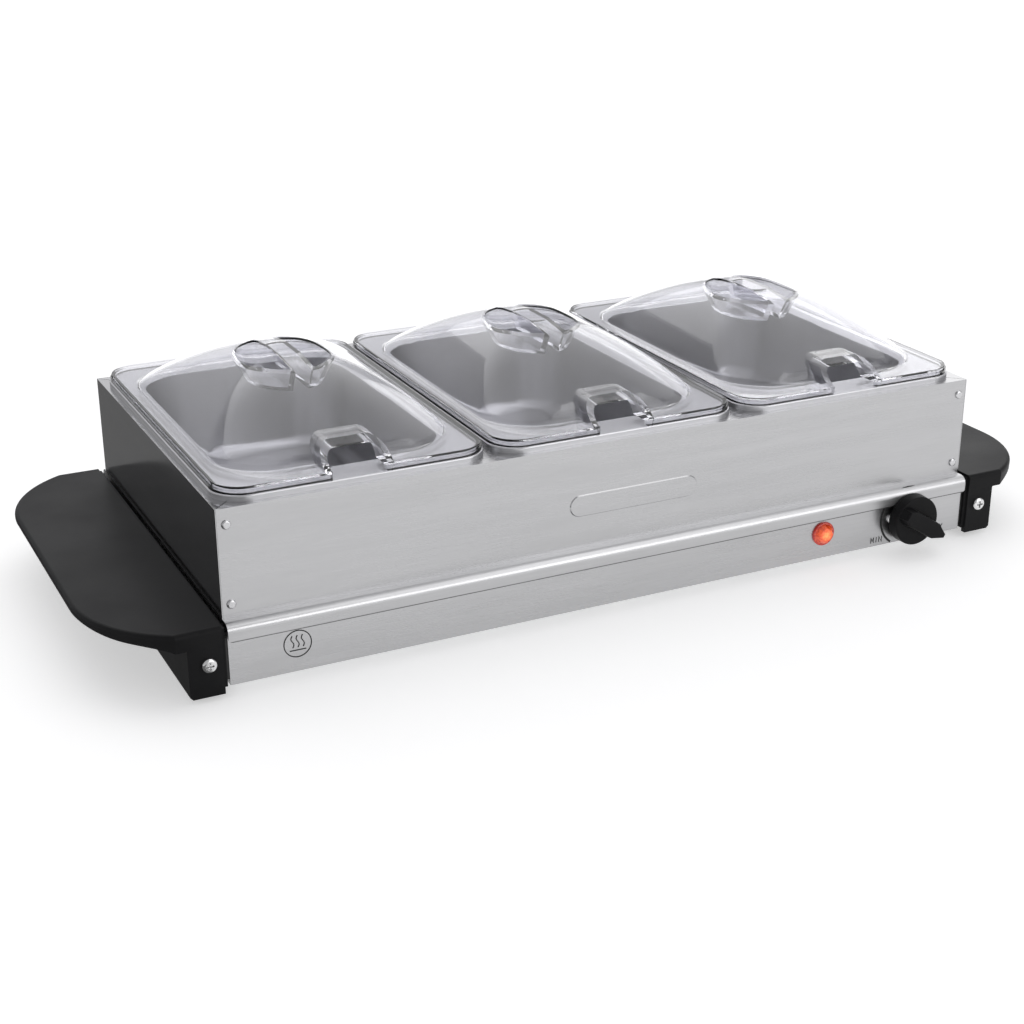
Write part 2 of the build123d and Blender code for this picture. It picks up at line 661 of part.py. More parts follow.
def pan_screw(head_r, head_h, shank_r, length):
    """Pan-head cross-recess screw along Z, underside of the head at z = 0, head upwards."""
    with BuildPart() as screw:
        with BuildSketch(Plane.XY):
            Circle(head_r)
        extrude(amount=head_h)
        fillet(screw.edges().group_by(Axis.Z)[-1], radius=head_h * HEAD_ROUND)
        with BuildSketch(Plane.XY.offset(head_h)):
            Rectangle(head_r * RECESS_LENGTH, head_r * RECESS_WIDTH)
            Rectangle(head_r * RECESS_WIDTH, head_r * RECESS_LENGTH)
        extrude(amount=-head_h * RECESS_DEPTH, taper=RECESS_DRAFT, mode=Mode.SUBTRACT)
        with BuildSketch(Plane.XY):
            Circle(shank_r)
        extrude(amount=-length)
        chamfer(screw.edges().group_by(Axis.Z)[0], length=shank_r * TIP_BEVEL)
    return screw


small_screw = pan_screw(SMALL_SCREW_HEAD_R, SMALL_SCREW_HEAD_H, SMALL_SCREW_R, SMALL_SCREW_LENGTH)
with BuildPart() as cover_screws:
    for x, y in cover_screw_points:
        with Locations(Location((x, y, cover_z0), (180, 0, 0))):
            add(small_screw.part)
save(cover_screws, "cover_screws")

with BuildPart() as earth_screw:
    with Locations(Location((EARTH_X, HOUSING_HALF_Y, EARTH_Z), (-90, 0, 0))):
        add(small_screw.part)
save(earth_screw, "earth_screw")


# === handles, their brackets, screws and the feet ==========================================
def handle_slab(inset, top, bottom):
    """Slab under the outline of the right-hand handle, running on past its inner edge."""
    outer = HANDLE_OUTER_X - inset
    half_y = HANDLE_HALF_Y - inset
    kink = HANDLE_KINK_X - inset
    root = HANDLE_INNER_X - HANDLE_SPARE
    with BuildPart() as slab:
        with BuildSketch(Plane.XY.offset(top)):
            with BuildLine():
                Line((outer, HANDLE_STRAIGHT_Y), (outer, -HANDLE_STRAIGHT_Y))
                TangentArc((outer, -HANDLE_STRAIGHT_Y), (kink, -half_y), tangent=(0, -1))
                Polyline((kink, -half_y), (root, -half_y), (root, half_y), (kink, half_y))
                TangentArc((outer, HANDLE_STRAIGHT_Y), (kink, half_y), tangent=(0, 1))
            make_face()
        extrude(amount=-(top - bottom), taper=HANDLE_DRAFT)
        fillet(slab.edges().group_by(Axis.Z)[-1], radius=HANDLE_EDGE_R)
    return slab


def skirt_relief():
    """Space under the grip: shallow skirt over the middle, sweeping down to the legs."""
    with BuildPart() as relief:
        with BuildSketch(Plane.YZ.offset(LEG_OUTER_X)):
            with BuildLine():
                Line((-SKIRT_SPAN_Y, SKIRT_HIGH_Z), (SKIRT_SPAN_Y, SKIRT_HIGH_Z))
                for end in (-1, 1):
                    Spline(
                        (end * SKIRT_SPAN_Y, SKIRT_HIGH_Z),
                        (end * SKIRT_BEND_Y, SKIRT_BEND_Z),
                        (end * HANDLE_HALF_Y, SKIRT_LOW_Z),
                        tangents=((end, 0), (end, -1)),
                    )
                Polyline(
                    (-HANDLE_HALF_Y, SKIRT_LOW_Z),
                    (-HANDLE_HALF_Y, 0),
                    (HANDLE_HALF_Y, 0),
                    (HANDLE_HALF_Y, SKIRT_LOW_Z),
                )
            make_face()
        extrude(amount=HANDLE_OUTER_X - LEG_OUTER_X)
    return relief


plate_under = TRAY_TOP_Z - HANDLE_PLATE
leg_in_y = LEG_FRONT_Y - LEG_WALL
leg_in_x = LEG_OUTER_X - LEG_WALL
bracket_in_y = leg_in_y - BRACKET_SHEET
slot_gap = BACK_WALL_X - HOUSING_HALF_X - BRACKET_SHEET
handle_body = handle_slab(0, TRAY_TOP_Z, SKIRT_LOW_Z)
handle_hollow = handle_slab(HANDLE_WALL, plate_under, SKIRT_LOW_Z - HANDLE_PLATE)

with BuildPart() as handle:
    add(handle_body.part)
    add(handle_hollow.part, mode=Mode.SUBTRACT)
    add(skirt_relief().part, mode=Mode.SUBTRACT)
    block(HANDLE_INNER_X - HANDLE_SPARE - HANDLE_PLATE, HANDLE_INNER_X, -HANDLE_OUTER_X, HANDLE_OUTER_X,
          0, 2 * TRAY_TOP_Z, Mode.SUBTRACT)
    block(HANDLE_INNER_X, LEG_OUTER_X, -LEG_FRONT_Y, LEG_FRONT_Y, FOOT_HEIGHT, plate_under)
    block(HANDLE_INNER_X, leg_in_x, -leg_in_y, leg_in_y, 0, plate_under, Mode.SUBTRACT)
    chamfer(handle.edges().filter_by(Axis.Y).group_by(Axis.Z)[0].sort_by(Axis.X)[-1], length=LEG_FOOT_BEVEL)
    block(BACK_WALL_X, BACK_WALL_X + BACK_WALL, -BACK_WALL_HALF_Y, BACK_WALL_HALF_Y,
          BACK_WALL_Z0, BACK_WALL_Z1)
    for end in (-1, 1):
        block(BACK_WALL_X, BACK_WALL_X + BACK_WALL, end * leg_in_y, end * (bracket_in_y - slot_gap),
              BRACKET_Z0 - slot_gap, BRACKET_Z1 + slot_gap, Mode.SUBTRACT)
        with Locations((FOOT_X, end * FOOT_Y, (FOOT_HEIGHT + plate_under) / 2)):
            Cylinder(BOSS_R, plate_under - FOOT_HEIGHT)
        with Locations((FOOT_X, end * FOOT_Y, FOOT_HEIGHT + FOOT_STEM_LENGTH / 2)):
            Cylinder(FOOT_STEM_R + FIT, FOOT_STEM_LENGTH, mode=Mode.SUBTRACT)
        with Locations(Location((LEG_SCREW_X, end * LEG_FRONT_Y, LEG_SCREW_Z), (90, 0, 0))):
            Cylinder(HANDLE_SCREW_R + FIT, 3 * LEG_WALL, mode=Mode.SUBTRACT)

with BuildPart() as handle_right:
    add(handle.part)
save(handle_right, "handle_right")
with BuildPart() as handle_left:
    add(handle.part)
    mirror(about=Plane.YZ, mode=Mode.REPLACE)
save(handle_left, "handle_left")

with BuildPart() as handle_brackets:
    for side in (-1, 1):
        for end in (-1, 1):
            face = side * HOUSING_HALF_X
            block(face, side * (HOUSING_HALF_X + BRACKET_SHEET), end * leg_in_y, end * BRACKET_BACK_Y,
                  BRACKET_Z0, BRACKET_Z1)
            block(face, side * (leg_in_x - BRACKET_SHEET), end * leg_in_y, end * bracket_in_y,
                  BRACKET_Z0, BRACKET_Z1)
    with Locations(*[Location((side * LEG_SCREW_X, end * leg_in_y, LEG_SCREW_Z), (90, 0, 0))
                     for side in (-1, 1) for end in (-1, 1)]):
        Cylinder(HANDLE_SCREW_R + FIT, 3 * BRACKET_SHEET, mode=Mode.SUBTRACT)
save(handle_brackets, "handle_brackets")

big_screw = pan_screw(HANDLE_SCREW_HEAD_R, HANDLE_SCREW_HEAD_H, HANDLE_SCREW_R, HANDLE_SCREW_LENGTH)
with BuildPart() as handle_screws:
    for side in (-1, 1):
        for end, tilt in ((-1, 90), (1, -90)):
            with Locations(Location((side * LEG_SCREW_X, end * LEG_FRONT_Y, LEG_SCREW_Z), (tilt, 0, 0))):
                add(big_screw.part)
save(handle_screws, "handle_screws")

with BuildPart() as rubber_foot:
    with BuildSketch(Plane.XY):
        Circle(FOOT_R)
    extrude(amount=FOOT_HEIGHT, taper=FOOT_DRAFT)
    fillet(rubber_foot.edges().group_by(Axis.Z)[0], radius=FOOT_EDGE_R)
    with BuildSketch(Plane.XY.offset(FOOT_HEIGHT)):
        Circle(FOOT_STEM_R)
    extrude(amount=FOOT_STEM_LENGTH - FOOT_STEM_GAP)
with BuildPart() as rubber_feet:
    with Locations(*[(x, y, 0) for x in (-FOOT_X, FOOT_X) for y in (-FOOT_Y, FOOT_Y)]):
        add(rubber_foot.part)
save(rubber_feet, "rubber_feet")


# === heating: element, clamps, reflector, thermal fuse =====================================
element_end_x = REFLECTOR_HALF_X + ELEMENT_REACH
with BuildPart() as heating_element:
    with BuildLine(Plane.XY.offset(ELEMENT_Z)):
        FilletPolyline(
            (element_end_x, -ELEMENT_END_Y),
            (ELEMENT_HALF_X - 2 * ELEMENT_BEND, -ELEMENT_END_Y),
            (ELEMENT_HALF_X - 2 * ELEMENT_BEND, -ELEMENT_HALF_Y),
            (-ELEMENT_HALF_X, -ELEMENT_HALF_Y),
            (-ELEMENT_HALF_X, ELEMENT_HALF_Y),
            (ELEMENT_HALF_X - 2 * ELEMENT_BEND, ELEMENT_HALF_Y),
            (ELEMENT_HALF_X - 2 * ELEMENT_BEND, ELEMENT_END_Y),
            (element_end_x, ELEMENT_END_Y),
            radius=ELEMENT_BEND,
        )
    with BuildSketch(Plane(origin=(element_end_x, -ELEMENT_END_Y, ELEMENT_Z), z_dir=(-1, 0, 0))):
        Circle(ELEMENT_R)
    sweep()
    for y in (-ELEMENT_END_Y, ELEMENT_END_Y):
        with Locations(Location((element_end_x + ELEMENT_PIN_LENGTH / 2, y, ELEMENT_Z), (0, 90, 0))):
            Cylinder(ELEMENT_PIN_R, ELEMENT_PIN_LENGTH)
save(heating_element, "heating_element")

clamp_r = ELEMENT_R + FIT
with BuildPart() as clamp_strap:
    with BuildSketch(Plane.YZ.offset(-CLAMP_WIDTH / 2)):
        with Locations((0, ELEMENT_Z)):
            Circle(clamp_r + SHEET)
        with Locations((0, ELEMENT_Z + ELEMENT_R / 2)):
            Rectangle(2 * (clamp_r + SHEET), ELEMENT_R)
        with Locations((0, housing_top - SHEET / 2)):
            Rectangle(2 * (clamp_r + CLAMP_EAR), SHEET)
        with Locations((0, ELEMENT_Z)):
            Circle(clamp_r, mode=Mode.SUBTRACT)
        with Locations((0, ELEMENT_Z + ELEMENT_R)):
            Rectangle(2 * clamp_r, 2 * ELEMENT_R, mode=Mode.SUBTRACT)
        with Locations((0, housing_top + ELEMENT_R)):
            Rectangle(8 * ELEMENT_R, 2 * ELEMENT_R, mode=Mode.SUBTRACT)
    extrude(amount=CLAMP_WIDTH)
with BuildPart() as element_clamps:
    for x in CLAMP_XS:
        for y in (-ELEMENT_HALF_Y, ELEMENT_HALF_Y):
            with Locations((x, y, 0)):
                add(clamp_strap.part)
    with Locations(Location((-ELEMENT_HALF_X, 0, 0), (0, 0, 90))):
        add(clamp_strap.part)
save(element_clamps, "element_clamps")

with BuildPart() as reflector:
    block(-REFLECTOR_HALF_X, REFLECTOR_HALF_X, -REFLECTOR_HALF_Y, REFLECTOR_HALF_Y, REFLECTOR_Z,
          housing_top)
    wall_x = REFLECTOR_HALF_X - REFLECTOR_SHEET
    wall_y = REFLECTOR_HALF_Y - REFLECTOR_SHEET
    block(-wall_x, wall_x, -wall_y, wall_y, REFLECTOR_Z + REFLECTOR_SHEET, housing_top, Mode.SUBTRACT)
    with Locations(*[Location((REFLECTOR_HALF_X, y, ELEMENT_Z), (0, 90, 0))
                     for y in (-ELEMENT_END_Y, ELEMENT_END_Y)]):
        Cylinder(ELEMENT_R + REFLECTOR_HOLE_GAP, 4 * SHEET, mode=Mode.SUBTRACT)
save(reflector, "reflector")

fuse_z = REFLECTOR_Z - FUSE_R
with BuildPart() as thermal_fuse:
    with Locations(Location((FUSE_X, FUSE_Y, fuse_z), (0, 90, 0))):
        Cylinder(FUSE_R, FUSE_LENGTH)
        Cylinder(FUSE_WIRE_R, FUSE_WIRE_LENGTH)
save(thermal_fuse, "thermal_fuse")


# === thermostat, knob and pilot lamp =======================================================
thermostat_front = -HOUSING_HALF_Y + SHEET
thermostat_back = thermostat_front + THERMOSTAT_DEPTH
tab_end = thermostat_back + TAB_LENGTH
plate_back = thermostat_front + THERMOSTAT_PLATE
with BuildPart() as thermostat_body:
    block(KNOB_X - THERMOSTAT_PLATE_HALF_X, KNOB_X + THERMOSTAT_PLATE_HALF_X, thermostat_front, plate_back,
          KNOB_Z - THERMOSTAT_PLATE_HALF_Z, KNOB_Z + THERMOSTAT_PLATE_HALF_Z)
    block(KNOB_X - THERMOSTAT_HALF_X, KNOB_X + THERMOSTAT_HALF_X, plate_back, thermostat_back,
          KNOB_Z - THERMOSTAT_HALF_Z, KNOB_Z + THERMOSTAT_HALF_Z)
    for x in (KNOB_X - THERMOSTAT_TAB_X, KNOB_X + THERMOSTAT_TAB_X):
        block(x - TAB_HALF_WIDTH, x + TAB_HALF_WIDTH, thermostat_back, tab_end,
              KNOB_Z - TAB_HALF_THICKNESS, KNOB_Z + TAB_HALF_THICKNESS)
    with BuildSketch(front_plane(thermostat_front)):
        with Locations((KNOB_X, KNOB_Z)):
            Circle(BUSH_R)
    extrude(amount=SHEET + BUSH_RISE)
    with BuildSketch(front_plane(thermostat_front - 2 * SHEET)):
        with Locations((KNOB_X, KNOB_Z)):
            Circle(SHAFT_R + SHAFT_FIT)
    extrude(amount=-(THERMOSTAT_BORE + 2 * SHEET), mode=Mode.SUBTRACT)
    with BuildSketch(front_plane(thermostat_front)):
        with Locations(*[(x, KNOB_Z) for x in thermostat_screw_xs]):
            Circle(SCREW_HOLE_R)
    extrude(amount=-THERMOSTAT_SCREW_DEPTH, mode=Mode.SUBTRACT)
save(thermostat_body, "thermostat_body")

with BuildPart() as thermostat_screws:
    for x in thermostat_screw_xs:
        with Locations(Location((x, -HOUSING_HALF_Y, KNOB_Z), (90, 0, 0))):
            add(small_screw.part)
save(thermostat_screws, "thermostat_screws")

shaft_back = thermostat_front + THERMOSTAT_BORE - 2 * SHEET
shaft_front = KNOB_FACE_Y - THERMOSTAT_PLATE
shaft_flat_z = KNOB_Z + SHAFT_FLAT
with BuildPart() as thermostat_shaft:
    with BuildSketch(front_plane(shaft_back)):
        with Locations((KNOB_X, KNOB_Z)):
            Circle(SHAFT_R)
    extrude(amount=shaft_back - shaft_front)
    block(KNOB_X - SHAFT_R, KNOB_X + SHAFT_R, shaft_front, KNOB_BACK_Y - SHAFT_END_GAP,
          shaft_flat_z, shaft_flat_z + SHAFT_R, Mode.SUBTRACT)
save(thermostat_shaft, "thermostat_shaft")

pointer = Plane(
    origin=(KNOB_X, KNOB_FACE_Y, KNOB_Z),
    x_dir=(cos(radians(KNOB_TIP_ANGLE)), 0, sin(radians(KNOB_TIP_ANGLE))),
    z_dir=(0, -1, 0),
)
with BuildPart() as control_knob:
    with BuildSketch(front_plane(KNOB_BACK_Y)):
        with Locations((KNOB_X, KNOB_Z)):
            Circle(KNOB_NECK_R)
    extrude(amount=KNOB_BACK_Y - KNOB_BARREL_Y)
    with BuildSketch(front_plane(KNOB_BARREL_Y)):
        with Locations((KNOB_X, KNOB_Z)):
            Circle(KNOB_R)
    extrude(amount=KNOB_BARREL_Y - KNOB_FACE_Y, taper=KNOB_DRAFT)
    fillet(control_knob.edges().group_by(Axis.Y)[0], radius=KNOB_EDGE_R)
    with BuildSketch(pointer.offset(-BAR_ROOT)):
        with BuildLine():
            Polyline(
                (KNOB_TIP_R, BAR_TIP_HALF),
                (BAR_SHOULDER, BAR_HALF),
                (BAR_TAIL_SHOULDER, BAR_HALF),
                (BAR_TAIL, BAR_TAIL_HALF),
                (BAR_TAIL, -BAR_TAIL_HALF),
                (BAR_TAIL_SHOULDER, -BAR_HALF),
                (BAR_SHOULDER, -BAR_HALF),
                (KNOB_TIP_R, -BAR_TIP_HALF),
                close=True,
            )
        make_face()
    extrude(amount=KNOB_FACE_Y - KNOB_FRONT_Y + BAR_ROOT, taper=BAR_DRAFT)
    fillet(control_knob.edges().group_by(Axis.Y)[0], radius=BAR_EDGE_R)
    with BuildSketch(front_plane(KNOB_BACK_Y)):
        with Locations((KNOB_X, KNOB_Z)):
            Circle(SHAFT_R + FIT)
        with Locations((KNOB_X, shaft_flat_z + FIT + SHAFT_R)):
            Rectangle(2 * SHAFT_R, 2 * SHAFT_R, mode=Mode.SUBTRACT)
    extrude(amount=KNOB_BACK_Y - shaft_front + SHAFT_END_GAP, mode=Mode.SUBTRACT)
    with BuildSketch(front_plane(KNOB_BACK_Y)):
        with Locations((KNOB_X, KNOB_Z)):
            Circle(SHAFT_R + FIT)
    extrude(amount=SHAFT_ENTRY, mode=Mode.SUBTRACT)
save(control_knob, "control_knob")

with BuildPart() as pilot_lamp_lens:
    with BuildSketch(front_plane(-HOUSING_HALF_Y)):
        with Locations((LAMP_X, LAMP_Z)):
            Circle(LAMP_BEZEL_R)
    extrude(amount=LAMP_BEZEL_HEIGHT)
    fillet(pilot_lamp_lens.edges().group_by(Axis.Y)[0], radius=LAMP_BEZEL_EDGE_R)
    with BuildSketch(front_plane(-HOUSING_HALF_Y - LAMP_BEZEL_HEIGHT)):
        with Locations((LAMP_X, LAMP_Z)):
            RegularPolygon(LAMP_FACET_R, LAMP_FACETS)
    extrude(amount=LAMP_FACET_HEIGHT, taper=LAMP_FACET_DRAFT)
    with BuildSketch(front_plane(-HOUSING_HALF_Y)):
        with Locations((LAMP_X, LAMP_Z)):
            Circle(LAMP_STEM_R)
    extrude(amount=-LAMP_STEM_LENGTH)
    with BuildSketch(front_plane(-HOUSING_HALF_Y + LAMP_STEM_LENGTH)):
        with Locations((LAMP_X, LAMP_Z)):
            Circle(LAMP_STEM_R - LAMP_WALL)
    extrude(amount=LAMP_BORE, mode=Mode.SUBTRACT)
save(pilot_lamp_lens, "pilot_lamp_lens")

lamp_collar_y = -HOUSING_HALF_Y + LAMP_STEM_LENGTH + LAMP_BODY_START
lamp_tab_y = lamp_collar_y + LAMP_COLLAR
lamp_tab_end = -HOUSING_HALF_Y + LAMP_TAB_END
with BuildPart() as pilot_lamp_body:
    with BuildSketch(front_plane(-HOUSING_HALF_Y + LAMP_BODY_START)):
        with Locations((LAMP_X, LAMP_Z)):
            Circle(LAMP_STEM_R - LAMP_WALL - FIT)
    extrude(amount=-(LAMP_STEM_LENGTH + SHEET))
    with BuildSketch(front_plane(lamp_collar_y)):
        with Locations((LAMP_X, LAMP_Z)):
            Circle(LAMP_STEM_R)
    extrude(amount=-LAMP_COLLAR)
    for x in (LAMP_X - LAMP_TAB_X, LAMP_X + LAMP_TAB_X):
        block(x - LAMP_TAB_HALF_THICKNESS, x + LAMP_TAB_HALF_THICKNESS, lamp_tab_y, lamp_tab_end,
              LAMP_Z - LAMP_TAB_HALF_WIDTH, LAMP_Z + LAMP_TAB_HALF_WIDTH)
save(pilot_lamp_body, "pilot_lamp_body")

with BuildPart() as pilot_lamp_clip:
    with BuildSketch(front_plane(thermostat_front)):
        with Locations((LAMP_X, LAMP_Z)):
            Circle(LAMP_STEM_R + LAMP_CLIP_WIDTH)
            Circle(LAMP_STEM_R + FIT, mode=Mode.SUBTRACT)
    extrude(amount=-LAMP_CLIP_THICKNESS)
save(pilot_lamp_clip, "pilot_lamp_clip")


# === mains entry: gland, terminal block and leads ==========================================
gland_inner_y = HOUSING_HALF_Y - SHEET
gland_tail_y = gland_inner_y - GLAND_THREAD
with BuildPart() as cord_gland:
    with BuildSketch(rear_plane(gland_tail_y)):
        with Locations((-GLAND_X, GLAND_Z)):
            Circle(GLAND_NECK_R)
    extrude(amount=SHEET + GLAND_THREAD)
    with BuildSketch(rear_plane(HOUSING_HALF_Y)):
        with Locations((-GLAND_X, GLAND_Z)):
            Circle(GLAND_NECK_R + GLAND_COLLAR)
    extrude(amount=GLAND_COLLAR)
    with BuildSketch(rear_plane(HOUSING_HALF_Y + GLAND_COLLAR)):
        with Locations((-GLAND_X, GLAND_Z)):
            Circle(GLAND_NECK_R)
    extrude(amount=GLAND_FRONT_Y - HOUSING_HALF_Y - GLAND_COLLAR, taper=GLAND_DRAFT)
    fillet(cord_gland.edges().group_by(Axis.Y)[-1], radius=GLAND_EDGE_R)
    with BuildSketch(rear_plane(gland_tail_y)):
        with Locations((-GLAND_X, GLAND_Z)):
            Circle(GLAND_BORE_R)
    extrude(amount=GLAND_FRONT_Y, mode=Mode.SUBTRACT)
save(cord_gland, "cord_gland")

with BuildPart() as gland_nut:
    with BuildSketch(rear_plane(gland_inner_y)):
        with Locations((-GLAND_X, GLAND_Z)):
            RegularPolygon(GLAND_NECK_R + GLAND_COLLAR, 6)
            Circle(GLAND_NECK_R + FIT, mode=Mode.SUBTRACT)
    extrude(amount=-GLAND_COLLAR)
save(gland_nut, "gland_nut")

terminal_top = HOUSING_Z0 + TERMINAL_HEIGHT
terminal_xs = (TERMINAL_X - TERMINAL_PITCH, TERMINAL_X, TERMINAL_X + TERMINAL_PITCH)
with BuildPart() as terminal_block:
    block(TERMINAL_X - TERMINAL_HALF_X, TERMINAL_X + TERMINAL_HALF_X, TERMINAL_Y - TERMINAL_HALF_Y,
          TERMINAL_Y + TERMINAL_HALF_Y, HOUSING_Z0, terminal_top)
    for x in terminal_xs:
        with Locations(Location((x, TERMINAL_Y, TERMINAL_LEVEL), (90, 0, 0))):
            Cylinder(TERMINAL_BORE_R, 3 * TERMINAL_HALF_Y, mode=Mode.SUBTRACT)
        with Locations((x, TERMINAL_Y, terminal_top)):
            Cylinder(TERMINAL_SCREW_R, TERMINAL_SCREW_DEPTH, mode=Mode.SUBTRACT)
save(terminal_block, "terminal_block")


def lead(points, start, end, name):
    """Insulated wire swept along a smooth path, leaving and arriving in the given directions."""
    with BuildPart() as wire:
        with BuildLine():
            path = Spline(*points, tangents=(start, end))
        with BuildSketch(Plane(origin=path @ 0, z_dir=path % 0)):
            Circle(LEAD_R)
        sweep()
    save(wire, name)


# Points the leads start from, arrive at and bend round.
terminal_exit = TERMINAL_Y - TERMINAL_HALF_Y
pin_x = element_end_x + ELEMENT_PIN_LENGTH / 2 + FIT
pin_under = ELEMENT_Z - ELEMENT_PIN_R
live_tab = (KNOB_X - THERMOSTAT_TAB_X, tab_end, KNOB_Z)
heater_tab = (KNOB_X + THERMOSTAT_TAB_X, tab_end, KNOB_Z)
heater_bend = (216, -56, 18)
heater_pin = (pin_x, -ELEMENT_END_Y, pin_under)
return_pin = (pin_x, ELEMENT_END_Y, pin_under)
fuse_in = (FUSE_X + FUSE_WIRE_LENGTH / 2, FUSE_Y, fuse_z)
fuse_out = (FUSE_X - FUSE_WIRE_LENGTH / 2, FUSE_Y, fuse_z)
fuse_bends = ((190, 34, 16), (100, 40, 20))
neutral_bends = ((46, 62, 22), (58, 77, 18))
live_bends = ((56, 40, 12), (130, -20, 12))
earth_bend = (84, 86, 14)
earth_end = (EARTH_X, HOUSING_HALF_Y - SMALL_SCREW_LENGTH, EARTH_Z)
lamp_live_tab = (LAMP_X + LAMP_TAB_X, lamp_tab_end, LAMP_Z)
lamp_live_bend = (156, -92, LAMP_Z)
lamp_live_end = (KNOB_X - THERMOSTAT_HALF_X, thermostat_front + THERMOSTAT_DEPTH / 2, KNOB_Z)
lamp_neutral_tab = (LAMP_X - LAMP_TAB_X, lamp_tab_end, LAMP_Z)
lamp_neutral_bends = ((60, -60, 12), (30, 40, 12))
terminal_side = (TERMINAL_X - TERMINAL_HALF_X, TERMINAL_Y, TERMINAL_LEVEL)
terminal_mouths = [(x, terminal_exit, TERMINAL_LEVEL) for x in terminal_xs]
FORWARD = (0, -1, 0)
BACK = (0, 1, 0)
LEFT = (-1, 0, 0)
RIGHT = (1, 0, 0)
UP = (0, 0, 1)
DOWN = (0, 0, -1)
lead([terminal_mouths[0], *live_bends, live_tab], FORWARD, FORWARD, "lead_live")
lead([heater_tab, heater_bend, heater_pin], BACK, UP, "lead_heater")
lead([return_pin, *fuse_bends, fuse_in], DOWN, LEFT, "lead_fuse")
lead([fuse_out, *neutral_bends, terminal_mouths[1]], LEFT, BACK, "lead_neutral")
lead([terminal_mouths[2], earth_bend, earth_end], FORWARD, BACK, "lead_earth")
lead([lamp_live_tab, lamp_live_bend, lamp_live_end], BACK, RIGHT, "lead_lamp_live")
lead([lamp_neutral_tab, *lamp_neutral_bends, terminal_side], BACK, RIGHT, "lead_lamp_neutral")
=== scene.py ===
from math import cos, pi, radians, sin

import bpy
from mathutils import Matrix, Vector


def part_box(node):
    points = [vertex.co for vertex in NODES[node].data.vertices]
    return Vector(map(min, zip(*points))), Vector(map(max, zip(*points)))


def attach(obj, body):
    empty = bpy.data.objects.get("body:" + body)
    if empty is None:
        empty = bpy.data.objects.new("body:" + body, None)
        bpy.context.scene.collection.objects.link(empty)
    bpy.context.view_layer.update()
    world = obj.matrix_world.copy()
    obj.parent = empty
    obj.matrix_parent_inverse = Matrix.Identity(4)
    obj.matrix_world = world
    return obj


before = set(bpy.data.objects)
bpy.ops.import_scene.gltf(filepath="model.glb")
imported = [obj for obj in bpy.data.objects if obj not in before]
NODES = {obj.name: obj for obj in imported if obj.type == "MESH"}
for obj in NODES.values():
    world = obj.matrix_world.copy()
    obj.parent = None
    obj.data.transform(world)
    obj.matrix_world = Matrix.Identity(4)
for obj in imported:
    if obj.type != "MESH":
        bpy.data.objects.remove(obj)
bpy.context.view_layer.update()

MM = 0.001

# --- camera --------------------------------------------------------------------------------
CAMERA_AT = Vector((-0.45096, -0.89696, 0.42184))
CAMERA_LOOK = Vector((0.40683, 0.83228, -0.37655))
CAMERA_ROLL = radians(-0.20)
CAMERA_LENS = 62.09
CAMERA_SENSOR = 36.0

# --- base colours, linear ------------------------------------------------------------------
STEEL = (0.485, 0.485, 0.492)
PAN_STEEL = (0.53, 0.53, 0.545)
BRIGHT_STEEL = (0.78, 0.78, 0.78)
BLACK = (0.0105, 0.0105, 0.011)
INK = (0.012, 0.012, 0.012)
# painted shadow: colour of the dark line painted along the tray lip's lower edge, and the heights it fades
# between
LIP_SHADOW_COLOUR = (0.10, 0.10, 0.10)
LIP_SHADOW_RISE = (0.0306, 0.0311)
LAMP_RED = (0.75, 0.04, 0.01)
LAMP_CORE = (1.0, 0.42, 0.12, 1.0)
LAMP_RING = (0.95, 0.13, 0.03, 1.0)
LAMP_RIM = (0.35, 0.012, 0.006, 1.0)
LAMP_GLOW = 0.36

# --- light ---------------------------------------------------------------------------------
FLOOR_HALF = 45.0
FLOOR_WHITE = (0.78, 0.78, 0.78)
FLOOR_GLOW = (0.49, 0.72)
FLOOR_GLOW_SPAN = (0.45, 1.5)
WORLD_COLOUR = (0.98, 0.98, 1.0)
WORLD_LEVEL = 0.50
BACK_LEVEL = 0.86
BACK_TOWARD = Vector((0.10, 0.92, 0.36))
BACK_SPAN = (0.86, 0.985)
HORIZON_LEVEL = 1.05
HORIZON_SPAN = (0.05, 0.14)
SUN_STRENGTH = 0.8
SUN_ANGLE = radians(70.0)
SUN_FROM = Vector((0.30, 0.60, 1.0))
CARD_LEFT, CARD_RIGHT = -2.2, -0.233
CARD_FRONT, CARD_REAR = -0.6, 2.2
CARD_HEIGHT = 0.002
CARD_LEVEL = 0.15
# name, place, point it faces, size, watts, whether only reflections see it
SOFTBOXES = (
    ("right_rear_softbox", (1.9, 1.6, 0.9), (0.1, 0.0, 0.1), (1.2, 1.2), 4.5, False),
    ("front_low_softbox", (0.73, -1.50, 0.66), (0.0, -0.1, 0.05), (1.5, 0.8), 8.6, True),
    ("front_high_softbox", (0.69, -0.75, 1.41), (0.0, -0.1, 0.05), (1.3, 1.1), 5.5, True),
)

